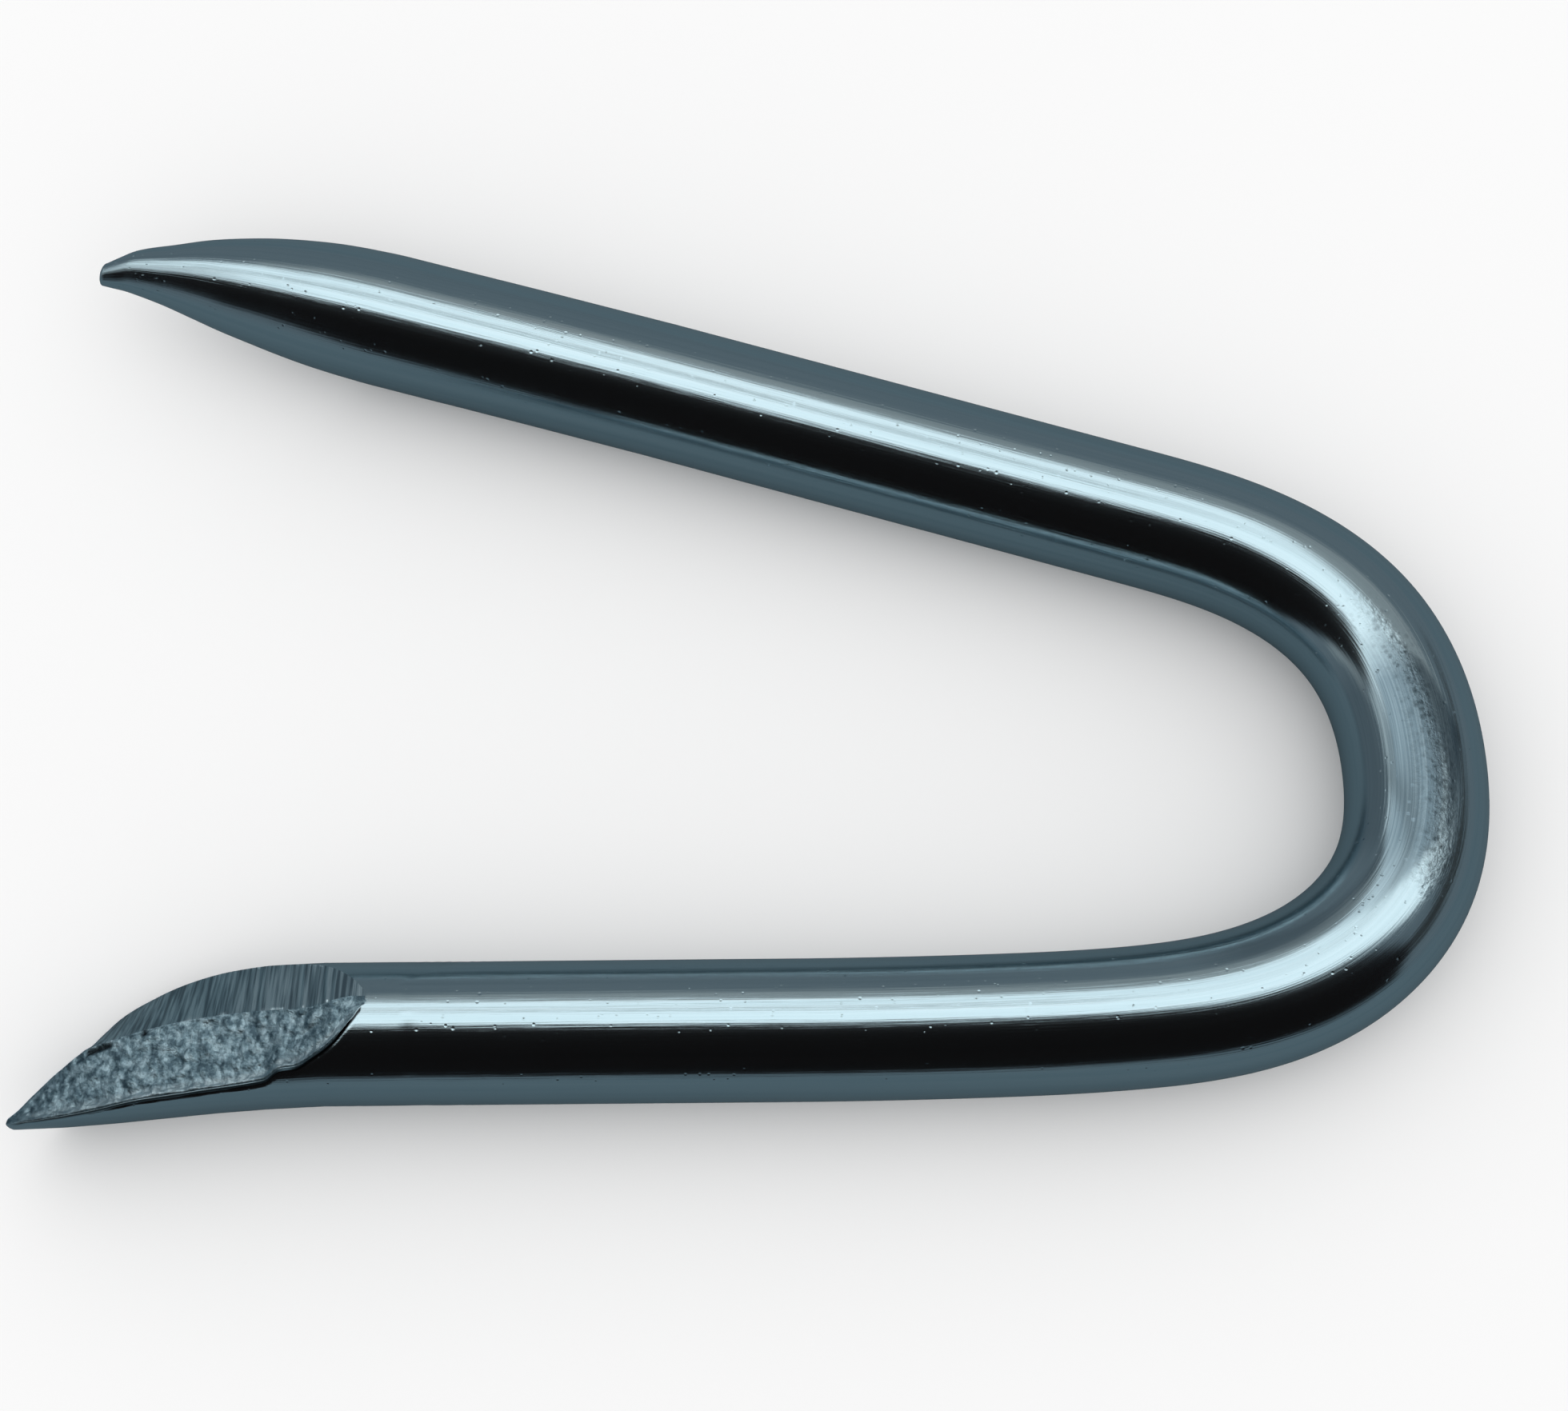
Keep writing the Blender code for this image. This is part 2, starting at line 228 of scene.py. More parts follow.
def near_corners(back):
    """For each row: angle where the blade's surface leaves the wire, angle where the break leaves it,
    and the three corners as (side, up). The edges are smoothed as angle and distance from the
    centre line, so that they stay on the round wire, and the ridge as side and up."""
    edge, far = NEAR_CUT[:, 1:3], NEAR_CUT[:, 5:7]
    edge_angle = (angle_of(*edge.T) - np.pi) % (2 * np.pi) + np.pi
    far_angle = angle_of(*far.T) % (2 * np.pi)
    table = np.column_stack(
        [NEAR_CUT[:, 0], edge_angle, np.hypot(*edge.T), NEAR_CUT[:, 3:5], far_angle, np.hypot(*far.T)]
    )
    edge_angle, edge_far, ridge_side, ridge_up, far_angle, far_far = smooth_rows(table, back).T
    edge = np.stack([edge_far * np.sin(edge_angle), edge_far * np.cos(edge_angle)], 1)
    far = np.stack([far_far * np.sin(far_angle), far_far * np.cos(far_angle)], 1)
    return far_angle, edge_angle, edge, np.stack([ridge_side, ridge_up], 1), far


# %% [markdown]
# ## Relief
#
# Reflections show relief that is far too small to measure. Value noise is enough for it: random
# numbers on a lattice, blended smoothly between lattice points. Stretching the lattice turns the
# grain into lines, for the blade's strokes.

# %% Noise
LATTICE = np.random.default_rng(38).uniform(-1, 1, (512, 512))


def noise(x, y, shift=0):
    """Value noise: the lattice value at the four whole points round (x, y), blended by
    3t^2 - 2t^3 each way. It lies between -1 and 1."""
    i, j = np.floor(x).astype(int), np.floor(y).astype(int)
    u, v = x - i, y - j
    u, v = u * u * (3 - 2 * u), v * v * (3 - 2 * v)
    i, j = i + 37 * shift, j + 91 * shift
    a, b = LATTICE[i % 512, j % 512], LATTICE[(i + 1) % 512, j % 512]
    c, d = LATTICE[i % 512, (j + 1) % 512], LATTICE[(i + 1) % 512, (j + 1) % 512]
    return (a * (1 - u) + b * u) * (1 - v) + (c * (1 - u) + d * u) * v


def grain(x, y, shift=0, layers=3):
    """Noise added to itself at twice the detail and half the height, layer by layer."""
    return sum(noise(x * 2**k, y * 2**k, shift + k) / 2**k for k in range(layers))


# %% [markdown]
# ## One grid for the whole wire
#
# The staple is one piece, so it is one surface: rows run along the wire, and columns run round it.
# The columns come in five groups, and the edges between groups follow the creases of the cuts, so
# a crease is a clean line of the mesh at any size. Away from the cuts the groups spread out evenly
# round the wire and nothing shows of them.

# %% Rows and columns
SKIN_ONE, FAR_FLAT, SKIN_TWO, BREAK, BLADE = range(5)
GROUP_COLUMNS = np.array([32, 24, 32, 60, 44])
GROUP_START = np.append(0, np.cumsum(GROUP_COLUMNS))
COLUMNS = GROUP_START[-1]
column = np.arange(COLUMNS)
group = np.searchsorted(GROUP_START, column, side="right") - 1
share = (column - GROUP_START[group]) / GROUP_COLUMNS[group]

FINE_END = 5.4  # wire radii back from the near tip, with all columns
near_rows = np.linspace(0, FINE_END, 286) * WIRE_RADIUS
near_straight = np.linspace(FINE_END * WIRE_RADIUS, NEAR_LEG, 34)[1:]
bend_rows = NEAR_LEG + np.linspace(0, BEND_LENGTH, 190)[1:]
far_start = WIRE_LENGTH - FAR_POINT * WIRE_RADIUS
far_straight = np.linspace(NEAR_LEG + BEND_LENGTH, far_start, 52)[1:]
far_rows = WIRE_LENGTH - np.linspace(FAR_POINT, FAR_END, 130)[1:] * WIRE_RADIUS
t_rows = np.concatenate([near_rows, near_straight, bend_rows, far_straight, far_rows])
near_back = t_rows / WIRE_RADIUS
far_back = (WIRE_LENGTH - t_rows) / WIRE_RADIUS
print("rows:", len(t_rows), "columns:", COLUMNS)

# %% [markdown]
# The angles where the groups meet change along the wire. At the near point they come from the
# table, in the middle they are even, and at the far point the group that holds the cut follows it.

# %% Angles of the groups
EVEN = np.radians([117.5, 177.5, 222.5, 282.5, 395.0])
AT_FAR = np.radians([82.0, 120.0, 280.0, 318.0, 380.0])

far_angle, edge_angle, edge, ridge, blade_edge = near_corners(near_back)
flat_share = GROUP_START[[1, 2]] / GROUP_START[3]
to_even = ease(5.0, 7.5, near_back)
to_far = ease(9.5, 6.0, far_back)


def blended(near, k):
    """An angle that follows the near point, then the even spread, then the far point."""
    return (near * (1 - to_even) + EVEN[k] * to_even) * (1 - to_far) + AT_FAR[k] * to_far


blade_angle = blended(far_angle, 0)
break_angle = blended(edge_angle, 3)
first_flat = blended(far_angle + (edge_angle - far_angle) * flat_share[0], 1)
second_flat = blended(far_angle + (edge_angle - far_angle) * flat_share[1], 2)

# %% The far point's section
nose, shift = smooth_rows(FAR_NOSE, far_back).T
lift = (1 - nose) * NOSE_LIFT
tilted = shift * np.sin(NOSE_TILT) * ease(4.3, 2.5, far_back)
nose_side = -shift * np.cos(NOSE_TILT) - lift * np.sin(NOSE_TILT)
nose_up = np.maximum(lift * np.cos(NOSE_TILT) - tilted, nose - 1)
cut_out = FAR_CUT_START + FAR_CUT_SLOPE * np.minimum(far_back, FAR_BREAK_AT)
cut_out += FAR_BREAK_SLOPE * np.maximum(far_back - FAR_BREAK_AT, 0)
cut_depth = cut_out - (nose_side * np.sin(FAR_FACING) + nose_up * np.cos(FAR_FACING))
half_cut = np.maximum(np.arccos(np.clip(cut_depth / nose, -1, 1)), LEAST_HALF_CUT)
facing = 2 * np.pi - FAR_FACING  # the far leg is walked from the bend to its tip, so sides swap
at_cut = ease(6.0, FAR_POINT, far_back)
first_flat = first_flat * (1 - at_cut) + (facing - half_cut) * at_cut
second_flat = second_flat * (1 - at_cut) + (facing + half_cut) * at_cut
print("far cut, rows:", int((cut_depth < nose).sum()))

# %% Sections of the wire
LIP_CROWD = 1.9
INSIDE = 0.9995  # a point within this share of the round section lies in a cut
LEAST_COSINE = 0.02
FAR_OFF = 9  # further out than any part of the wire


def round_angle():
    """Angle of each grid point round the wire: in each group it runs evenly from the group's first
    angle to its last, but crowds towards the lip of the break, where there is most to show."""
    starts = np.stack([blade_angle, first_flat, second_flat, break_angle, break_angle * 0], 1)
    ends = np.stack([first_flat, second_flat, break_angle, break_angle * 0, break_angle * 0], 1)
    ridge_angle = blended(angle_of(*ridge.T) + 2 * np.pi, 4)
    crowd = np.where(group == SKIN_TWO, 1 - (1 - share) ** LIP_CROWD, share)
    ends[:, BREAK] = ridge_angle
    starts[:, BLADE] = ridge_angle
    ends[:, BLADE] = blade_angle + 2 * np.pi
    return starts[:, group] + (ends - starts)[:, group] * crowd


def near_section():
    """(side, up) of the break's and the blade's columns on the near point, as points on the
    straight lines from corner to corner, brought back to the round wire where they leave it."""
    on_break = edge[:, None] + (ridge - edge)[:, None] * share[None, :, None]
    on_blade = ridge[:, None] + (blade_edge - ridge)[:, None] * share[None, :, None]
    line = np.where((group == BREAK)[None, :, None], on_break, on_blade)
    out = np.hypot(line[..., 0], line[..., 1])
    return line / np.maximum(out, 1)[..., None], out


angle = round_angle()
line, line_out = near_section()
straight = (group >= BREAK)[None, :] & (near_back < NEAR_CUT_END)[:, None]
in_cut = straight & (line_out < INSIDE)

cosine = np.cos(angle - facing)
met = cut_depth[:, None] / np.maximum(cosine, LEAST_COSINE)
flat_out = np.where(cosine > LEAST_COSINE, met, FAR_OFF)
in_far_cut = (far_back < FAR_POINT)[:, None] & (flat_out < nose[:, None] * INSIDE)
on_nose = (far_back < NOSE_END)[:, None]
radius = np.where(on_nose, np.minimum(nose[:, None], flat_out), 1)
side = radius * np.sin(angle) + np.where(on_nose, -nose_side[:, None], 0)
up = radius * np.cos(angle) + np.where(on_nose, nose_up[:, None], 0)
side = np.where(straight, line[..., 0], side)
up = np.where(straight, line[..., 1], up)
print("points in the near cut:", int(in_cut.sum()), "in the far cut:", int(in_far_cut.sum()))

# %% [markdown]
# ## What the shears left
#
# The blade draws fine strokes across its surface. The break is hackly: the steel tore grain by
# grain. Along its lower edge the wire's skin was dragged over into a thin lip, with a crease below
# it. All of this shape is relief of a few hundredths of a millimetre. The dark line in the crease is
# painted shade and the bright line on the lip is painted highlight, both in the colour.

# %% Where the relief lies
back_grid = near_back[:, None] + 0 * angle
nothing = 0 * back_grid
zone = ease(0.06, 0.3, back_grid) * ease(4.9, 4.5, back_grid)
break_width = np.hypot(*(ridge - edge).T)[:, None]
blade_width = np.hypot(*(blade_edge - ridge).T)[:, None]
from_edge = np.where(group == BREAK, share, 0)[None, :] * break_width
from_ridge = np.where(group == BREAK, 1 - share, 0)[None, :] * break_width
past_ridge = np.where(group == BLADE, share, 0)[None, :] * blade_width
print("widest break and blade, wire radii:", break_width.max().round(2), blade_width.max().round(2))

# %% The torn break and the blade's strokes
TEAR_FINE, TEAR_COARSE, TEAR_LEVEL = 0.014, 0.024, 0.010  # depths and heights in wire radii
EDGE_RISE, NOTCH_DEPTH, STROKE_DEPTH = 0.030, 0.035, 0.014


def bell(x, middle, width):
    """1 at the middle, and e to the minus square of the distance from it over the width."""
    return np.exp(-(((x - middle) / width) ** 2))


torn = grain(back_grid * 11.0 + from_edge * 2.0, from_edge * 7.5, 1, 3) * TEAR_FINE
torn += np.abs(grain(back_grid * 4.6 + from_edge, from_edge * 3.4, 5, 3)) * TEAR_COARSE - TEAR_LEVEL
torn *= ease(0, 0.07, from_edge) * ease(0, 0.05, from_ridge)
notch = ease(1.02, 1.08, back_grid) * ease(1.46, 1.36, back_grid) * bell(from_ridge, 0.07, 0.035)
notch += bell(back_grid, 1.86, 0.05) * bell(from_ridge, 0.05, 0.04)
edge_up = EDGE_RISE * bell(from_edge, 0, 0.06) * (1 + 0.3 * noise(back_grid * 6, nothing, 3))
torn = np.where(group == BREAK, torn + edge_up - NOTCH_DEPTH * notch, 0) * zone

strokes = noise(back_grid * 12 + past_ridge * 0.5, past_ridge * 0.3, 9)
strokes += 0.7 * noise(back_grid * 25 + past_ridge * 1.0, past_ridge * 0.5, 12)
strokes *= STROKE_DEPTH * ease(0.1, 0.9, back_grid) * ease(0, 0.04, past_ridge)
strokes = np.where(group == BLADE, strokes, 0) * zone
print("deepest tear and stroke, mm:", *(round(-r.min() * WIRE_RADIUS / MM, 3) for r in (torn, strokes)))

# %% The lip, the painted shade under it and the painted highlight on it
LIP_HEIGHT, GROOVE_DEPTH, LIP_END = 0.012, 0.020, 5
lip_gap = np.where(group == SKIN_TWO, break_angle[:, None] - angle, FAR_OFF)
lip_here = in_cut[:, [GROUP_START[BREAK] + 2]] & (group == SKIN_TWO) & (near_back < LIP_END)[:, None]
uneven = 1 + 0.3 * noise(back_grid * 5, nothing, 3)
lip = LIP_HEIGHT * bell(lip_gap, 0, 0.03) - GROOVE_DEPTH * bell(lip_gap, 0.06, 0.04)
lip = np.where(lip_here, lip * uneven, 0) * zone

# Painted shade: the colour darkens in the crease under the lip and in the notches of the break.
open_at = 1 - 0.8 * bell(back_grid, 3.88, 0.09)  # the dark line is thin where the break steps up
shade_under_lip = np.exp(-(((lip_gap - 0.042) / 0.036) ** 4)) * open_at
crevice_shade = np.where(lip_here, shade_under_lip, 0) * ease(0, 0.2, back_grid)
crevice_shade = np.maximum(crevice_shade, np.where(group == BREAK, np.minimum(notch, 1), 0) * zone)

# Painted highlight: the break's colour is lightened along its lower edge, on the lip.
lip_highlight = np.where(group == BREAK, bell(from_edge, 0.07, 0.06), 0) * zone
lip_highlight *= 0.72 + 0.4 * noise(back_grid * 9, from_edge * 4, 14)
print("rows with a lip:", int(lip_here.any(1).sum()))


# %% Relief on the section
def line_normal(first, second):
    """Unit normal (side, up) of the line from one corner to the other, on its upper side."""
    run = second - first
    normal = np.stack([-run[:, 1], run[:, 0]], 1)
    return normal / np.hypot(*run.T)[:, None]


break_normal = line_normal(edge, ridge)[:, None]
blade_normal = line_normal(ridge, blade_edge)[:, None]
raise_cut = (torn * in_cut)[..., None] * break_normal + (strokes * in_cut)[..., None] * blade_normal
side = side + raise_cut[..., 0] + lip * np.sin(angle)
up = up + raise_cut[..., 1] + lip * np.cos(angle)
lean = np.interp(near_back, *NEAR_LEAN.T)
side = side - lean[:, None]

# %% Into place
CROWN_SQUASH, CROWN_SPREAD = 0.05, 0.025
SQUASH_FULL, SQUASH_END = 5 * MM, 11 * MM


def placed(t, side, up, ahead):
    """Points in metres: the centre line at t, plus side along its left-hand normal, plus ahead along
    its heading. In the crown the wire is spread a little sideways and squeezed in height, fading
    out along the bend."""
    crown = np.linspace(0, WIRE_LENGTH, 4001)
    middle = crown[np.argmax(centre_at(crown)[:, 0])]
    fade = ease(SQUASH_END, SQUASH_FULL, np.abs(t - middle))[:, None]
    centre, heading = centre_at(t), heading_at(t)[:, None]
    side = side * (1 + CROWN_SPREAD * fade) * WIRE_RADIUS
    ahead = ahead * WIRE_RADIUS
    x = centre[:, :1] - np.sin(heading) * side + np.cos(heading) * ahead
    y = centre[:, 1:] + np.cos(heading) * side + np.sin(heading) * ahead
    z = WIRE_RADIUS * (1 + up * (1 - CROWN_SQUASH * fade))
    return np.stack([x, y, z], 2)


points = placed(t_rows, side, up, np.zeros_like(side))
full_end = placed(np.array([WIRE_LENGTH]), side[-1:], up[-1:], np.zeros_like(side[-1:]))
reach = np.concatenate([points, full_end]).reshape(-1, 3)
middle_now = (reach.min(0) + reach.max(0)) / 2
move = ((solid_low + solid_high) / 2 - middle_now) * (1, 1, 0)
points = points + move
print("moved by, mm:", (move * 1000).round(3))


# %% [markdown]
# ## The mesh
#
# Both ends close on a single point, through a few smaller rings that round the tip off. Past the
# near point every second column is dropped, through one row of triangles, because plain round wire
# needs fewer of them.

# %% Close the ends
NEAR_CLOSE, NEAR_TIP = [(0.030, 0.8), (0.050, 0.5)], 0.06  # how far ahead, share of the ring's size
FAR_CLOSE, FAR_TIP = [(0.016, 0.95), (0.030, 0.80), (0.040, 0.50)], 0.042


def end_rings(ring, ahead, shrink):
    """Rings past an end: the last ring drawn in towards its own middle by each share in turn, and
    moved ahead along the wire."""
    middle = ring.mean(0)
    return np.array([middle + (ring - middle) * k + ahead * a for a, k in shrink])


near_heading, far_heading = heading_at(np.array([0.0, WIRE_LENGTH]))
near_ahead = -np.array([np.cos(near_heading), np.sin(near_heading), 0]) * WIRE_RADIUS
far_ahead = np.array([np.cos(far_heading), np.sin(far_heading), 0]) * WIRE_RADIUS
near_tip = points[0].mean(0) + near_ahead * NEAR_TIP
far_tip = points[-1].mean(0) + far_ahead * FAR_TIP

fine_count = len(near_rows)
HALF = COLUMNS // 2
fine = np.concatenate([end_rings(points[0], near_ahead, NEAR_CLOSE[::-1]), points[:fine_count]])
coarse = np.concatenate([points[fine_count:, ::2], end_rings(points[-1, ::2], far_ahead, FAR_CLOSE)])
vertices = np.concatenate([[near_tip], fine.reshape(-1, 3), coarse.reshape(-1, 3), [far_tip]])
fine_rows, coarse_rows = len(fine), len(coarse)
fine_base, coarse_base, last = 1, 1 + fine_rows * COLUMNS, len(vertices) - 1
print("points:", len(vertices))


# %% Faces
def quads(base, rows, columns):
    """Corner numbers of the quads of a closed grid, with each quad's row and column."""
    i, j = (a.ravel() for a in np.meshgrid(np.arange(rows - 1), np.arange(columns), indexing="ij"))
    k = (j + 1) % columns
    here, beyond = base + i * columns, base + (i + 1) * columns
    return np.stack([here + j, here + k, beyond + k, beyond + j], 1), i, j


fine_quads, fine_i, fine_j = quads(fine_base, fine_rows, COLUMNS)
coarse_quads, coarse_i, coarse_j = quads(coarse_base, coarse_rows, HALF)
every, half = np.arange(COLUMNS), np.arange(HALF)
a0 = fine_base + (fine_rows - 1) * COLUMNS + 2 * half
a1, a2 = a0 + 1, fine_base + (fine_rows - 1) * COLUMNS + (2 * half + 2) % COLUMNS
b0, b1 = coarse_base + half, coarse_base + (half + 1) % HALF
joint = np.concatenate([np.stack(three, 1) for three in ((a0, a1, b0), (a1, b1, b0), (a1, a2, b1))])
near_fan = np.stack([fine_base + (every + 1) % COLUMNS, fine_base + every, 0 * every], 1)
tail = coarse_base + (coarse_rows - 1) * HALF
far_fan = np.stack([tail + half, tail + (half + 1) % HALF, 0 * half + last], 1)
pieces = (fine_quads, coarse_quads, joint, near_fan, far_fan)
faces = [face for piece in pieces for face in piece.tolist()]

mesh = bpy.data.meshes.new("staple_wire")
mesh.from_pydata(vertices.tolist(), [], faces)
print("faces:", len(faces), "triangles:", sum(len(face) - 2 for face in faces))

# %% [markdown]
# Each point also needs its place along the wire and its angle round it, because drawn wire has its
# marks along its length. They go into a UV map in millimetres, so a pattern keeps its size round
# the bend.

# %% UV map
close_t = np.array([a for a, _ in NEAR_CLOSE[::-1]]) * -WIRE_RADIUS
t_fine = np.concatenate([close_t, t_rows[:fine_count]])
t_past = t_rows[-1] + np.array([a for a, _ in FAR_CLOSE]) * WIRE_RADIUS
t_coarse = np.concatenate([t_rows[fine_count:], t_past])
angle_fine = np.concatenate([np.repeat(angle[:1], len(NEAR_CLOSE), 0), angle[:fine_count]])
angle_coarse = np.concatenate([angle[fine_count:, ::2], np.repeat(angle[-1:, ::2], len(FAR_CLOSE), 0)])


def closed(angles):
    """The angles with the first column once more, a full turn on, so that nothing jumps there."""
    return np.hstack([angles, angles[:, :1] + 2 * np.pi])


def in_mm(along, round_it):
    """Corner by corner: distance along the wire and distance round it."""
    return np.stack([along / MM, round_it * WIRE_RADIUS / MM], 2).reshape(-1, 2)


def corner_uv(t, angles, i, j):
    """The four corners of each quad."""
    a = closed(angles)
    along = np.stack([t[i], t[i], t[i + 1], t[i + 1]], 1)
    return in_mm(along, np.stack([a[i, j], a[i, j + 1], a[i + 1, j + 1], a[i + 1, j]], 1))


A, B = closed(angle_fine)[-1], closed(angle_coarse)[0]
A0, A1, A2, B0, B1 = A[2 * half], A[2 * half + 1], A[2 * half + 2], B[half], B[half + 1]
joint_v = np.concatenate([np.stack(three, 1) for three in ((A0, A1, B0), (A1, B1, B0), (A1, A2, B1))])
two_t = np.array([t_fine[-1], t_coarse[0]])
joint_u = np.concatenate([np.tile(two_t[rows], (HALF, 1)) for rows in ([0, 0, 1], [0, 1, 1], [0, 0, 1])])
first, final = closed(angle_fine)[0], closed(angle_coarse)[-1]
near_v = np.stack([first[every + 1], first[every], first[every]], 1)
near_u = np.tile([t_fine[0], t_fine[0], -NEAR_TIP * WIRE_RADIUS], (COLUMNS, 1))
far_v = np.stack([final[half], final[half + 1], final[half]], 1)
far_u = np.full((HALF, 3), t_coarse[-1])
uv = np.concatenate(
    [
        corner_uv(t_fine, angle_fine, fine_i, fine_j),
        corner_uv(t_coarse, angle_coarse, coarse_i, coarse_j),
        in_mm(joint_u, joint_v),
        in_mm(near_u, near_v),
        in_mm(far_u, far_v),
    ]
)
layer = mesh.uv_layers.new(name="along_and_round")
layer.uv.foreach_set("vector", uv.astype(np.float32).ravel())
print("corners:", len(uv), "of", len(mesh.loops))

# %% [markdown]
# The wire's skin, the break and the blade's surface have a finish each, given quad by quad. The
# creases between them are marked sharp, because smooth shading would round them off.

# %% Surfaces of the cuts
SKIN, BROKEN, SHEARED = range(3)
pad = len(NEAR_CLOSE)
fine_cut = np.vstack([np.repeat(in_cut[:1], pad, 0), in_cut[:fine_count]])
coarse_cut = np.vstack([in_far_cut[fine_count:, ::2], np.repeat(in_far_cut[-1:, ::2], len(FAR_CLOSE), 0)])


def quad_material(cut, i, j, groups, columns):
    """A quad belongs to a cut where two or more of its corners lie in the cut. The rest is skin."""
    k = (j + 1) % columns
    count = cut[i, j].astype(int) + cut[i, k] + cut[i + 1, k] + cut[i + 1, j]
    return np.where(count >= 2, np.where(groups[j] == BREAK, BROKEN, SHEARED), SKIN)


coarse_back = np.concatenate([far_back[fine_count:], np.zeros(len(FAR_CLOSE))])
fine_material = quad_material(fine_cut, fine_i, fine_j, group, COLUMNS)
coarse_material = quad_material(coarse_cut, coarse_i, coarse_j, group[::2], HALF)
coarse_material[(coarse_material > SKIN) & (coarse_back[coarse_i] > FAR_BREAK_AT)] = BROKEN
rest = np.full(len(joint) + len(near_fan) + len(far_fan), SKIN)
rest[len(joint) : len(joint) + len(near_fan)] = BROKEN
finish_of = np.concatenate([fine_material, coarse_material, rest]).astype(np.int32)
mesh.polygons.foreach_set("material_index", finish_of)
mesh.polygons.foreach_set("use_smooth", np.ones(len(faces), bool))
print("faces of skin, break and blade:", np.bincount(finish_of).tolist())

# %% Sharp creases
row_of, column_of = np.full((2, len(vertices)), -1)
row_of[fine_base:coarse_base] = np.repeat(np.arange(fine_rows), COLUMNS)
column_of[fine_base:coarse_base] = np.tile(np.arange(COLUMNS), fine_rows)
row_of[coarse_base:last] = fine_rows + np.repeat(np.arange(coarse_rows), HALF)
column_of[coarse_base:last] = np.tile(np.arange(HALF) * 2, coarse_rows)
in_break, in_flat = GROUP_START[BREAK] + 3, (GROUP_START[FAR_FLAT] + 12) // 2
cut_row = np.concatenate([fine_cut[:, in_break], coarse_cut[:, in_flat]])
near_lines = np.isin(column_of, [0, GROUP_START[BREAK], GROUP_START[BLADE]])
far_lines = np.isin(column_of, [GROUP_START[FAR_FLAT], GROUP_START[SKIN_TWO]])
crease = (row_of >= 0) & cut_row[row_of] & np.where(row_of < fine_rows, near_lines, far_lines)
edge_ends = np.empty(len(mesh.edges) * 2, np.int32)
mesh.edges.foreach_get("vertices", edge_ends)
edge_ends = edge_ends.reshape(-1, 2)
sharp = crease[edge_ends].all(1) & (column_of[edge_ends[:, 0]] == column_of[edge_ends[:, 1]])
mesh.attributes.new("sharp_edge", "BOOLEAN", "EDGE").data.foreach_set("value", sharp)
print("sharp edges:", int(sharp.sum()))

# %% [markdown]
# The tool that bent the wire pressed on the crown. It rubbed a line into the zinc and left a patch
# of it dull. The crown is darker than the legs partly for that and partly by painted shade, which
# stands in for the dimmer reflection of the pressed crown. Both follow from the place along the wire
# and the angle round it, so they are worked out point by point and stored as attributes, which the
# materials read. The painted shade in the break's creases and the painted highlight on its lip are
# stored in the same way.

# %% What the bending tool did, and the painted shade on the crown
# Place along the wire in mm, and sine of the angle round it: 1 is the inside of the bend.
RUBBED_LINE = [(36, -0.32), (38, -0.28), (40, -0.18), (42, -0.10), (44, 0.0), (46, 0.05), (48, 0.10)]
DULL_SHADE_OUTSIDE = [(33, 0.36), (36, 0.20), (37.6, 0.05), (38.8, -0.12)]
DULL_SHADE_OUTSIDE += [(39.6, -0.34), (42, -0.5), (44, -0.26), (45, 0.05)]
DULL_SHADE_INSIDE = [(33, 0.62), (36, 0.53), (38, 0.50), (42, 0.50), (44, 0.44), (45.4, 0.36)]
DULL_SHADE_STRENGTH = [(31, 0), (33, 0.45), (37, 0.55), (39, 1), (43.8, 1), (45.6, 0)]


def through(table, t_mm):
    """A column of the table's values at the places, on straight lines from row to row."""
    return np.interp(t_mm, *np.transpose(table))[:, None]


def pressed(t, angles):
    """1 along the line where the forming tool rubbed the crown, fading out along and round the wire."""
    t_mm, v, on_top = t / MM, np.sin(angles), np.cos(angles) > 0
    along = ease(37.2, 39.0, t_mm) * ease(47.0, 44.2, t_mm)
    return along[:, None] * bell(v, through(RUBBED_LINE, t_mm), 0.20) * on_top


def dull_and_shaded(t, angles):
    """1 where the crown is darkened: partly zinc that the tool left dull, partly painted shade for the
    dimmer reflection of the pressed crown. It is a patch between two edges that change along the bend,
    and a fainter strip on its inner side. One narrow line is left undarkened, so that a reflected line
    stays bright there."""
    t_mm, v, on_top = t / MM, np.sin(angles), np.cos(angles) > 0
    low, high = through(DULL_SHADE_OUTSIDE, t_mm), through(DULL_SHADE_INSIDE, t_mm)
    patch = ease(low - 0.05, low + 0.05, v) * ease(high + 0.05, high - 0.05, v) * on_top
    bright = bell(v, -0.22, 0.03) * (ease(38.6, 39.2, t_mm) * ease(42.0, 40.8, t_mm))[:, None]
    strip = 0.45 * ease(0.40, 0.50, v) * ease(0.86, 0.80, v) * on_top * ease(37, 39, t_mm)[:, None]
    return np.maximum(patch, strip) * through(DULL_SHADE_STRENGTH, t_mm) * (1 - bright)


def store(name, *parts):
    """One number for each point of the mesh, as an attribute."""
    values = np.concatenate([np.ravel(part) for part in parts]).astype(np.float32)
    mesh.attributes.new(name, "FLOAT", "POINT").data.foreach_set("value", values)
    print(name + ", points over a half:", int((values > 0.5).sum()))


for name, measure in (("pressed", pressed), ("dull_and_shaded", dull_and_shaded)):
    store(name, 0, measure(t_fine, angle_fine), measure(t_coarse, angle_coarse), 0)
for name, measured in (("crevice_shade", crevice_shade), ("lip_highlight", lip_highlight)):
    store(name, np.zeros(1 + pad * COLUMNS), measured[:fine_count], np.zeros(coarse_rows * HALF + 1))

# %% Faces turned outwards
mesh.validate()
corners = vertices[np.array([face[:3] for face in faces])]
signed = np.einsum("ij,ij->i", corners[:, 0], np.cross(corners[:, 1], corners[:, 2])).sum()
if signed < 0:
    mesh.flip_normals()
print("faces had to be turned:", bool(signed < 0))

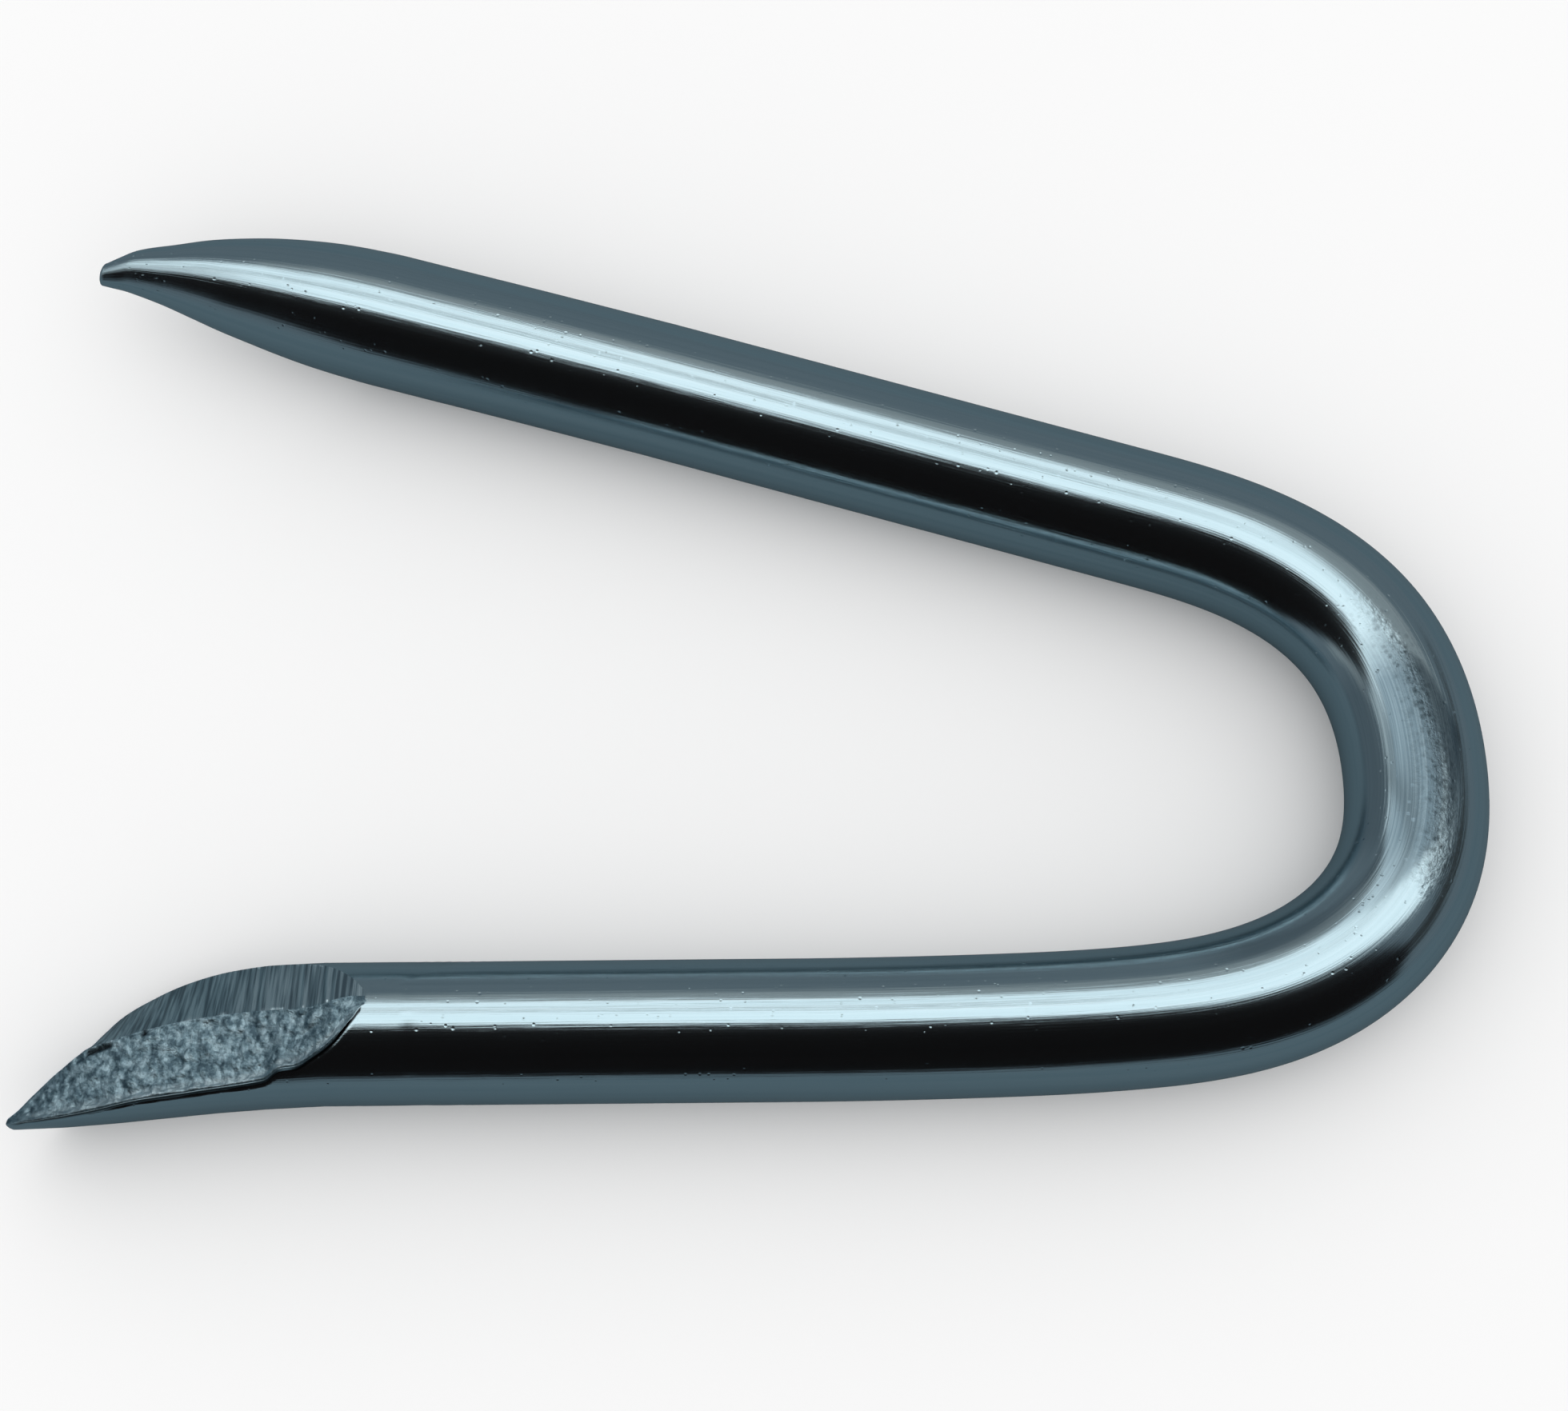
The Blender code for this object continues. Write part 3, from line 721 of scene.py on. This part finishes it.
# %% [markdown]
# ## Materials
#
# Bright zinc over drawn wire is a nearly clean mirror, so what it shows is the room. Its finish is
# in the small things: fine lines along the wire where it was pulled through the die, pits, and a
# faint change of tone. The same line pattern, at another size, makes the strokes of the blade, so
# it is a node group.

# %% Helpers for nodes
def add_node(tree, kind, values=None, **settings):
    """A node with its settings and the values of its inputs."""
    made = tree.nodes.new(kind)
    for name, value in settings.items():
        setattr(made, name, value)
    for name, value in (values or {}).items():
        made.inputs[name].default_value = value
    return made


def link(tree, *pairs):
    """Links each output to its input."""
    for start, end in pairs:
        tree.links.new(start, end)


def use_group(tree, kind, values):
    """A node group placed in a material, with its own values."""
    made = add_node(tree, "ShaderNodeGroup", node_tree=kind)
    for name, value in values.items():
        made.inputs[name].default_value = value
    return made


def new_material(name):
    """A material and its node tree."""
    made = bpy.data.materials.new(name)
    made.use_nodes = True
    return made, made.node_tree


def new_group(name, inputs, outputs):
    """An empty node group with named sockets, and its two end nodes."""
    tree = bpy.data.node_groups.new(name, "ShaderNodeTree")
    for label, kind, value in inputs:
        socket = tree.interface.new_socket(label, in_out="INPUT", socket_type=kind)
        if value is not None:
            socket.default_value = value
    for label, kind in outputs:
        tree.interface.new_socket(label, in_out="OUTPUT", socket_type=kind)
    return tree, tree.nodes.new("NodeGroupInput"), tree.nodes.new("NodeGroupOutput")


# %% Lines along a surface
VECTOR, NUMBER = "NodeSocketVector", "NodeSocketFloat"
lines, given, gives = new_group(
    "fine_lines",
    [("Place", VECTOR, None), ("Along", NUMBER, 0.1), ("Across", NUMBER, 8.0), ("Seed", NUMBER, 0.0)],
    [("Height", NUMBER), ("Tone", NUMBER)],
)
split = add_node(lines, "ShaderNodeSeparateXYZ")
along = add_node(lines, "ShaderNodeMath", operation="MULTIPLY")
across = add_node(lines, "ShaderNodeMath", operation="MULTIPLY")
joined = add_node(lines, "ShaderNodeCombineXYZ")
wide = add_node(lines, "ShaderNodeTexNoise", {"Scale": 1.0, "Detail": 2.0, "Roughness": 0.55})
thin = add_node(lines, "ShaderNodeTexNoise", {"Scale": 3.7, "Detail": 2.0, "Roughness": 0.6})
mixed = add_node(lines, "ShaderNodeMix", data_type="FLOAT")
mixed.inputs["Factor"].default_value = 0.4
link(
    lines,
    (given.outputs["Place"], split.inputs[0]),
    (split.outputs["X"], along.inputs[0]),
    (given.outputs["Along"], along.inputs[1]),
    (split.outputs["Y"], across.inputs[0]),
    (given.outputs["Across"], across.inputs[1]),
    (along.outputs[0], joined.inputs["X"]),
    (across.outputs[0], joined.inputs["Y"]),
    (given.outputs["Seed"], joined.inputs["Z"]),
    (joined.outputs[0], wide.inputs["Vector"]),
    (joined.outputs[0], thin.inputs["Vector"]),
    (wide.outputs["Fac"], mixed.inputs["A"]),
    (thin.outputs["Fac"], mixed.inputs["B"]),
    (mixed.outputs["Result"], gives.inputs["Height"]),
    (wide.outputs["Fac"], gives.inputs["Tone"]),
)

# %% Specks and pits
specks, given, gives = new_group(
    "specks",
    [("Place", VECTOR, None), ("Size", NUMBER, 3.0), ("Amount", NUMBER, 0.5)],
    [("Mask", NUMBER), ("Depth", NUMBER)],
)
cells = add_node(specks, "ShaderNodeTexVoronoi", feature="F1")
spread = add_node(specks, "ShaderNodeTexNoise", {"Scale": 1.3, "Detail": 2.0})
keep = add_node(specks, "ShaderNodeMath", operation="MULTIPLY")
near = add_node(specks, "ShaderNodeMapRange", {"From Min": 0.0, "To Min": 1.0, "To Max": 0.0}, clamp=True)
link(
    specks,
    (given.outputs["Place"], cells.inputs["Vector"]),
    (given.outputs["Size"], cells.inputs["Scale"]),
    (given.outputs["Place"], spread.inputs["Vector"]),
    (spread.outputs["Fac"], keep.inputs[0]),
    (given.outputs["Amount"], keep.inputs[1]),
    (cells.outputs["Distance"], near.inputs["Value"]),
    (keep.outputs[0], near.inputs["From Max"]),
    (near.outputs["Result"], gives.inputs["Mask"]),
    (near.outputs["Result"], gives.inputs["Depth"]),
)


# %% Another shade over a colour
COLOUR = "NodeSocketColor"
# Unless another is given, the shade is near black: the painted shade in the creases.
shades, given, gives = new_group(
    "shade_over",
    [("Colour", COLOUR, None), ("Shade", COLOUR, (0.012, 0.014, 0.018, 1)), ("Amount", NUMBER, 0.0)],
    [("Colour", COLOUR)],
)
shade_mix = add_node(shades, "ShaderNodeMix", data_type="RGBA")
link(
    shades,
    (given.outputs["Amount"], shade_mix.inputs["Factor"]),
    (given.outputs["Colour"], shade_mix.inputs["A"]),
    (given.outputs["Shade"], shade_mix.inputs["B"]),
    (shade_mix.outputs["Result"], gives.inputs["Colour"]),
)
print("node groups:", [g.name for g in (lines, specks, shades)])

# %% [markdown]
# The zinc's colour follows the broad lines. On the crown it turns to a darker shade, partly where
# the tool left it dull and partly as painted shade for the crown's dimmer reflection, broken up by
# the fine lines, and specks sit in the rubbed line, which is rougher too.
# The lines, the pits and the rubbed line also raise or lower the surface by a few microns.

# %% Parts of a metal finish
MICRON = 0.001 * MM


def metal(name, roughness):
    """A material with a metal surface, and its tree, shader and coordinates."""
    made, tree = new_material(name)
    shader = tree.nodes["Principled BSDF"]
    shader.inputs["Metallic"].default_value = 1.0
    shader.inputs["Roughness"].default_value = roughness
    uv_map = add_node(tree, "ShaderNodeUVMap", uv_map="along_and_round")
    place = add_node(tree, "ShaderNodeTexCoord")
    return made, tree, shader, uv_map.outputs["UV"], place.outputs["Object"]


def colour_with_crevice_shade(tree, shader, tone):
    """Feeds the tone to the shader, darkened by painted shade in the crevices."""
    depth = add_node(tree, "ShaderNodeAttribute", attribute_name="crevice_shade")
    dark = use_group(tree, shades, {})
    link(
        tree,
        (tone, dark.inputs["Colour"]),
        (depth.outputs["Fac"], dark.inputs["Amount"]),
        (dark.outputs["Colour"], shader.inputs["Base Color"]),
    )


def relief(tree, height, microns, under=None, **settings):
    """The normal of a relief of that depth, laid on the normal under it."""
    made = add_node(tree, "ShaderNodeBump", {"Strength": 1.0, "Distance": microns * MICRON}, **settings)
    link(tree, (height, made.inputs["Height"]))
    if under is not None:
        link(tree, (under, made.inputs["Normal"]))
    return made.outputs["Normal"]


def ramp(tree, stops, source):
    """A colour ramp through the stops (place, colour), fed by source."""
    made = add_node(tree, "ShaderNodeValToRGB")
    elements = made.color_ramp.elements
    elements[0].position, elements[0].color = stops[0][0], (*stops[0][1], 1)
    elements[1].position, elements[1].color = stops[-1][0], (*stops[-1][1], 1)
    for place, colour in stops[1:-1]:
        elements.new(place).color = (*colour, 1)
    link(tree, (source, made.inputs["Fac"]))
    return made.outputs["Color"]


# %% Zinc-plated wire
zinc, tree, shader, uv_out, _ = metal("zinc_skin", 0.16)
coarse_lines = use_group(tree, lines, {"Along": 0.05, "Across": 5.0, "Seed": 1.0})
fine_line = use_group(tree, lines, {"Along": 0.16, "Across": 19.0, "Seed": 4.0})
pit = use_group(tree, specks, {"Size": 3.4, "Amount": 0.31})
link(tree, *[(uv_out, n.inputs["Place"]) for n in (coarse_lines, fine_line, pit)])
tone = ramp(
    tree,
    [(0.25, (0.55, 0.69, 0.75)), (0.5, (0.60, 0.74, 0.80)), (0.75, (0.64, 0.77, 0.825))],
    coarse_lines.outputs["Tone"],
)
dull_shade = add_node(tree, "ShaderNodeAttribute", attribute_name="dull_and_shaded")
patchy = add_node(tree, "ShaderNodeMapRange", {"From Min": 0.35, "From Max": 0.6, "To Min": 0.80})
dull_shade_now = add_node(tree, "ShaderNodeMath", operation="MULTIPLY")
# The darker crown: dull zinc and painted shade for the pressed crown's dimmer reflection.
dull_shade_tone = use_group(tree, shades, {"Shade": (0.185, 0.255, 0.30, 1)})
mark = use_group(tree, specks, {"Size": 5.2, "Amount": 0.95})
mark_now = add_node(tree, "ShaderNodeMath", operation="MULTIPLY")
mark_tone = use_group(tree, shades, {"Shade": (0.05, 0.075, 0.09, 1)})
link(
    tree,
    (fine_line.outputs["Tone"], patchy.inputs["Value"]),
    (dull_shade.outputs["Fac"], dull_shade_now.inputs[0]),
    (patchy.outputs["Result"], dull_shade_now.inputs[1]),
    (tone, dull_shade_tone.inputs["Colour"]),
    (dull_shade_now.outputs[0], dull_shade_tone.inputs["Amount"]),
    (uv_out, mark.inputs["Place"]),
    (dull_shade_tone.outputs["Colour"], mark_tone.inputs["Colour"]),
    (mark_now.outputs[0], mark_tone.inputs["Amount"]),
)
colour_with_crevice_shade(tree, shader, mark_tone.outputs["Colour"])

worn = add_node(tree, "ShaderNodeAttribute", attribute_name="pressed")
rub = add_node(tree, "ShaderNodeTexNoise", {"Scale": 5.5, "Detail": 4.0, "Roughness": 0.65})
link(tree, (uv_out, rub.inputs["Vector"]))
worn_now = add_node(tree, "ShaderNodeMath", operation="MULTIPLY")
link(
    tree,
    (worn.outputs["Fac"], worn_now.inputs[0]),
    (rub.outputs["Fac"], worn_now.inputs[1]),
    (worn.outputs["Fac"], mark_now.inputs[0]),
    (mark.outputs["Mask"], mark_now.inputs[1]),
)
rougher = add_node(tree, "ShaderNodeMapRange", {"From Min": 0.05, "From Max": 0.6, "To Min": 0.15})
rougher.inputs["To Max"].default_value = 0.30
normal = relief(tree, coarse_lines.outputs["Height"], 5.5)
normal = relief(tree, fine_line.outputs["Height"], 2.0, normal)
normal = relief(tree, pit.outputs["Depth"], 6.0, normal, invert=True)
normal = relief(tree, worn_now.outputs[0], 40.0, normal)
link(
    tree,
    (worn_now.outputs[0], rougher.inputs["Value"]),
    (rougher.outputs["Result"], shader.inputs["Roughness"]),
    (normal, shader.inputs["Normal"]),
)

# %% [markdown]
# The two cut surfaces are bare steel. The break scatters light from thousands of small facets. The
# blade's surface keeps its strokes, which run across it, so the lines there take their length from
# the way round the wire and their width from the way along it.

# %% Cut surfaces
broken, tree, shader, _, object_out = metal("broken_steel", 0.34)
facets = add_node(tree, "ShaderNodeTexNoise", {"Scale": 9000.0, "Detail": 4.0, "Roughness": 0.7})
blotch = add_node(tree, "ShaderNodeTexNoise", {"Scale": 3900.0, "Detail": 3.0, "Roughness": 0.6})
link(tree, (object_out, facets.inputs["Vector"]), (object_out, blotch.inputs["Vector"]))
tone = ramp(
    tree,
    [(0.38, (0.15, 0.23, 0.28)), (0.5, (0.34, 0.48, 0.55)), (0.62, (0.62, 0.80, 0.88))],
    blotch.outputs["Fac"],
)
# Painted highlight along the lip of the break, laid into the colour.
lip_highlight_here = add_node(tree, "ShaderNodeAttribute", attribute_name="lip_highlight")
lip_highlight_tone = use_group(tree, shades, {"Shade": (0.80, 0.94, 0.99, 1)})
link(
    tree,
    (tone, lip_highlight_tone.inputs["Colour"]),
    (lip_highlight_here.outputs["Fac"], lip_highlight_tone.inputs["Amount"]),
    (relief(tree, facets.outputs["Fac"], 36.0), shader.inputs["Normal"]),
)
colour_with_crevice_shade(tree, shader, lip_highlight_tone.outputs["Colour"])

QUARTER_TURN = 1.5708
sheared, tree, shader, uv_out, _ = metal("sheared_steel", 0.30)
turn = add_node(tree, "ShaderNodeMapping")
turn.inputs["Rotation"].default_value = (0, 0, QUARTER_TURN)
stroke = use_group(tree, lines, {"Along": 0.35, "Across": 9.0, "Seed": 7.0})
link(tree, (uv_out, turn.inputs["Vector"]), (turn.outputs["Vector"], stroke.inputs["Place"]))
tone = ramp(
    tree,
    [(0.38, (0.24, 0.32, 0.37)), (0.5, (0.48, 0.62, 0.68)), (0.62, (0.78, 0.93, 0.98))],
    stroke.outputs["Tone"],
)
link(
    tree,
    (tone, shader.inputs["Base Color"]),
    (relief(tree, stroke.outputs["Height"], 20.0), shader.inputs["Normal"]),
)
print("materials:", [m.name for m in (zinc, broken, sheared)])

# %% The piece
staple = bpy.data.objects.new("staple_wire", mesh)
bpy.context.scene.collection.objects.link(staple)
for finish in (zinc, broken, sheared):
    mesh.materials.append(finish)
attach(staple, "root")
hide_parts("staple")

# %% [markdown]
# ## Stage and light
#
# The floor is plain and pale, under an even pale sky. A polished wire shows the room round it
# though, and pale all round would leave it without form. So, as for any bright metal on a table,
# cards stand round it, out of the picture: a blue-grey room lining and bench mat, two long soft
# lights overhead with a gap between them, a dark wall past the crown, and a black card on the near
# side. They show only in reflections, so the floor keeps the even light of the sky.

# %% Floor and sky
def plain_emission(name, colour, strength):
    """A material that glows evenly."""
    made, tree = new_material(name)
    tree.nodes.clear()
    glow = add_node(tree, "ShaderNodeEmission", {"Color": (*colour, 1), "Strength": strength})
    end = add_node(tree, "ShaderNodeOutputMaterial")
    link(tree, (glow.outputs[0], end.inputs["Surface"]))
    return made


def matte(name, colour):
    """A paint with no shine at all."""
    made, tree = new_material(name)
    paint = tree.nodes["Principled BSDF"]
    for socket, value in (("Base Color", (*colour, 1)), ("Roughness", 1.0), ("Specular IOR Level", 0.0)):
        paint.inputs[socket].default_value = value
    return made


def grid_card(name, corners, material):
    """A stage card on a grid of points (rows, columns, 3)."""
    rows, columns = corners.shape[:2]
    i, j = (a.ravel() for a in np.meshgrid(np.arange(rows - 1), np.arange(columns - 1), indexing="ij"))
    here, beyond = i * columns + j, (i + 1) * columns + j
    faces = np.stack([here, here + 1, beyond + 1, beyond], 1)
    data = bpy.data.meshes.new(name)
    data.from_pydata(corners.reshape(-1, 3).tolist(), [], faces.tolist())
    data.materials.append(material)
    made = bpy.data.objects.new(name, data)
    bpy.context.scene.collection.objects.link(made)
    return made


def flat_card(name, low, high, height, material):
    """A level card from corner low to corner high (x, y in metres)."""
    x, y = np.meshgrid([low[0], high[0]], [low[1], high[1]], indexing="ij")
    return grid_card(name, np.stack([x, y, 0 * x + height], 2), material)


def only_in_reflections(*cards):
    """Hides the cards from the camera and from every light path but a reflection."""
    for card in cards:
        card.visible_camera = card.visible_diffuse = card.visible_shadow = False
        card.visible_transmission = card.visible_volume_scatter = False


FLOOR_HALF, FLOOR_BELOW = 6, 0.04 * MM
floor_paint = matte("floor_paint", (0.97, 0.97, 0.97))
flat_card("floor", (-FLOOR_HALF, -FLOOR_HALF), (FLOOR_HALF, FLOOR_HALF), -FLOOR_BELOW, floor_paint)

world = bpy.data.worlds.new("pale_sky")
bpy.context.scene.world = world
world.use_nodes = True
world.node_tree.nodes["Background"].inputs["Color"].default_value = (1, 1, 1, 1)
world.node_tree.nodes["Background"].inputs["Strength"].default_value = 1.0

# %% Room lining and bench mat
LINING, MAT = (0.125, 0.152, 0.170), (0.112, 0.150, 0.170)
ROOM, MAT_BELOW = 0.42, 0.02 * MM
around, rise = np.meshgrid(np.linspace(0, 2 * np.pi, 49), np.linspace(-0.02, np.pi / 2, 13), indexing="ij")
x, y = ROOM * np.cos(around) * np.cos(rise), ROOM * np.sin(around) * np.cos(rise)
dome_points = np.stack([x, y, ROOM * np.sin(rise)], 2)
dome = grid_card("room_dome", dome_points, plain_emission("room_lining", LINING, 1.0))
mat = flat_card("bench_mat", (-ROOM, -ROOM), (ROOM, ROOM), -MAT_BELOW, matte("bench_mat", MAT))

# %% [markdown]
# The cards above the staple are level sheets with a slight cool tint. The long light lies across
# the staple, and its left end is dimmer. The second light stands behind it, and the gap between the
# two, which is brighter at its right end, shows as the fine line in the bright band. The dark wall
# past the crown gives the black wedge on the far shoulder, and a dim glow lies behind the lights.

# %% Cards above the staple
CARD_TINT = (0.93, 0.99, 1.0)
OVERHEAD = [  # name, brightness, height above the bench, near edge and far edge as (x, y), all in mm
    ("long_light", 1.20, 110, [(-62, -11), (15, -9), (70, -5), (112, 0)],
     [(-62, 31), (20, 31), (60, 30), (112, 26)]),
    ("long_light_end", 0.66, 110.5, [(-120, -8), (-60, -11)], [(-120, 28), (-60, 31)]),
    ("left_strip", 0.30, 111, [(-190, -150), (-112, -20)], [(-240, -130), (-150, -10)]),
    ("second_light", 1.15, 111, [(-110, 43), (15, 43), (36, 45)], [(-110, 75), (15, 78), (40, 79)]),
    ("light_gap", 0.53, 112, [(-110, 28), (18, 28)], [(-110, 48), (18, 48)]),
    ("light_gap_end", 1.05, 112, [(18, 28), (36, 28)], [(18, 48), (36, 48)]),
    ("dark_wall", 0.035, 109, [(190, -60), (200, 36), (235, 82), (245, 140), (215, 190)],
     [(380, -110), (395, 60), (360, 140), (320, 200), (250, 260)]),
    ("far_glow", 0.30, 114, [(-70, 25), (20, 25), (150, 20)], [(-60, 130), (40, 150), (170, 110)]),
]
overhead = []
for name, brightness, height, near_edge, far_edge in OVERHEAD:
    corners = np.stack([np.array(near_edge, float), np.array(far_edge, float)])
    corners = np.concatenate([corners, np.full((*corners.shape[:2], 1), height)], 2) * MM
    overhead.append(grid_card(name, corners, plain_emission(name, CARD_TINT, brightness)))
print("cards overhead:", len(overhead))

# %% [markdown]
# The black card bends down over the near side like a quarter of a barrel, and widens on its way.

# %% Black card
BARREL = 0.108
lean_down = np.radians(np.linspace(5.2, 86, 22))[:, None]
width = np.linspace(0, 1, 9)[None, :]
left = -BARREL * (0.85 * np.cos(lean_down) + 0.45 * np.sin(lean_down))
right = BARREL * np.minimum(0.25 * np.cos(lean_down) + 3.0 * np.sin(lean_down), 2.2)
x = left + (right - left) * width
black_card = grid_card(
    "black_card",
    np.stack([x, -BARREL * np.sin(lean_down) + 0 * x, BARREL * np.cos(lean_down) + 0 * x], 2),
    plain_emission("black_card", (0.006, 0.005, 0.005), 1.0),
)
only_in_reflections(dome, mat, *overhead, black_card)

# %% [markdown]
# ## Camera
#
# The camera stands where the photograph was taken from: a hand's width above the staple, looking
# down at 72 degrees, a little from the right.

# %% Camera
AZIMUTH, ELEVATION = np.radians(7.814), np.radians(71.8)
DISTANCE = 0.08953
AIM = np.array([0.815, 1.239, 1.88]) * MM
FRAME_WIDTH, FOCAL_LENGTH, SENSOR = 1960, 4075.8, 36  # pixels, pixels, mm
back = np.array(
    [np.sin(AZIMUTH) * np.cos(ELEVATION), -np.cos(AZIMUTH) * np.cos(ELEVATION), np.sin(ELEVATION)]
)
camera_data = bpy.data.cameras.new("camera")
camera_data.sensor_width = SENSOR
camera_data.lens = FOCAL_LENGTH / FRAME_WIDTH * SENSOR
camera_data.clip_start, camera_data.clip_end = 0.005, 20
camera = bpy.data.objects.new("camera", camera_data)
bpy.context.scene.collection.objects.link(camera)
camera.location = AIM + back * DISTANCE
camera.rotation_mode = "QUATERNION"
camera.rotation_quaternion = Vector(-back).to_track_quat("-Z", "Y")
bpy.context.scene.camera = camera
bpy.context.scene.view_settings.view_transform = "Standard"
print("lens, mm:", round(camera_data.lens, 2))
